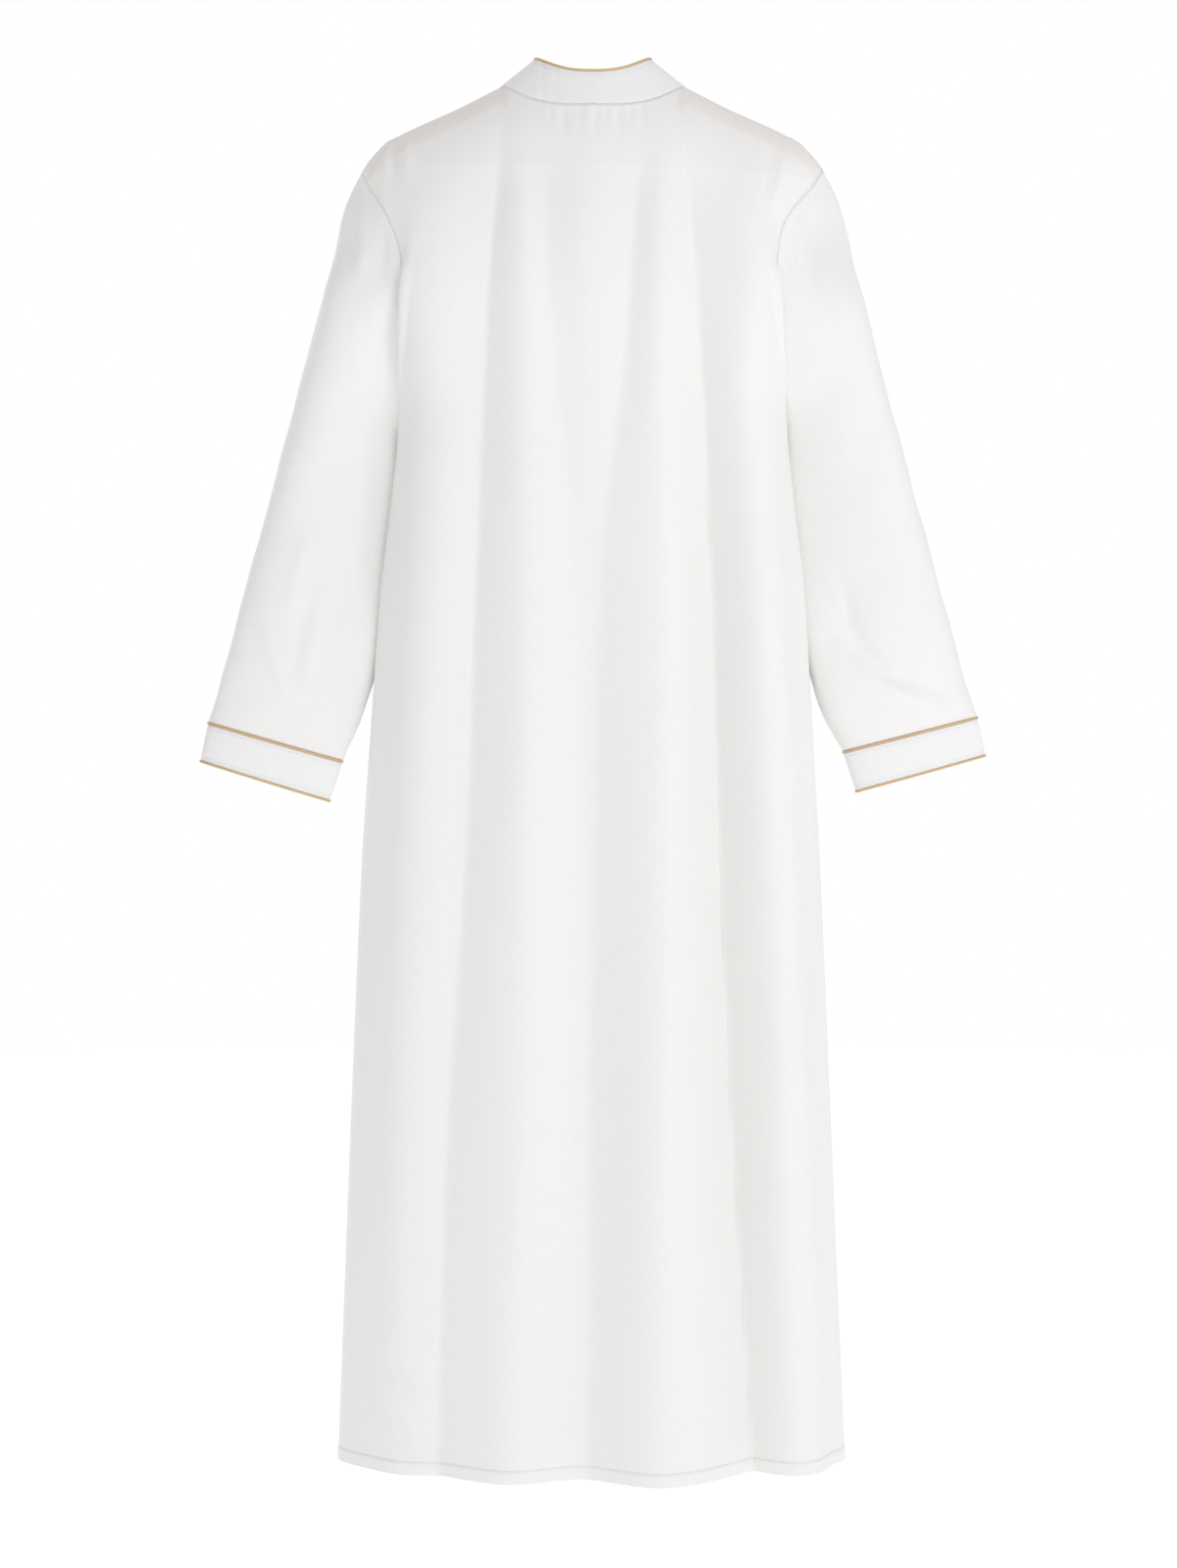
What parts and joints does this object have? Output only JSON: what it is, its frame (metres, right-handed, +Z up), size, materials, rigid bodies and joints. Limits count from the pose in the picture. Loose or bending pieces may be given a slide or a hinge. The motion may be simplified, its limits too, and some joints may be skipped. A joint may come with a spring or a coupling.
{
  "type": "thobe robe, filled out with no wearer",
  "caption": "Ankle-length loose robe with a low stand collar, a short front placket, long set-in sleeves and corded band cuffs, standing open and hollow as worn.",
  "frame": {"origin": "midway between the two points where the collar meets the shoulder seams, at the base of the wearer's neck", "axes": "+Z up along the wearer, -Y towards the wearer's front, +X towards the wearer's left"},
  "size_m": [0.8288, 0.2724, 1.4702],
  "materials": {
    "white_cloth": "fine plain-woven white cloth, thin and slightly see-through, soft sheen",
    "band_cloth": "two layers of the white cloth with a crisp interlining",
    "gold_cord": "twisted pale gold cord piping",
    "button": "pearl white resin"
  },
  "bodies": {
    "root": {"back": "white_cloth", "front": "white_cloth", "back_yoke_facing": "white_cloth", "sleeve_left": "white_cloth", "sleeve_right": "white_cloth", "cuff_left": "band_cloth", "cuff_right": "band_cloth", "collar": "band_cloth", "collar_piping": "gold_cord", "cuff_piping_upper_left": "gold_cord", "cuff_piping_upper_right": "gold_cord", "cuff_piping_lower_left": "gold_cord", "cuff_piping_lower_right": "gold_cord", "placket": "white_cloth", "button_1": "button", "button_2": "button", "button_3": "button", "button_4": "button"}
  },
  "joints": []
}
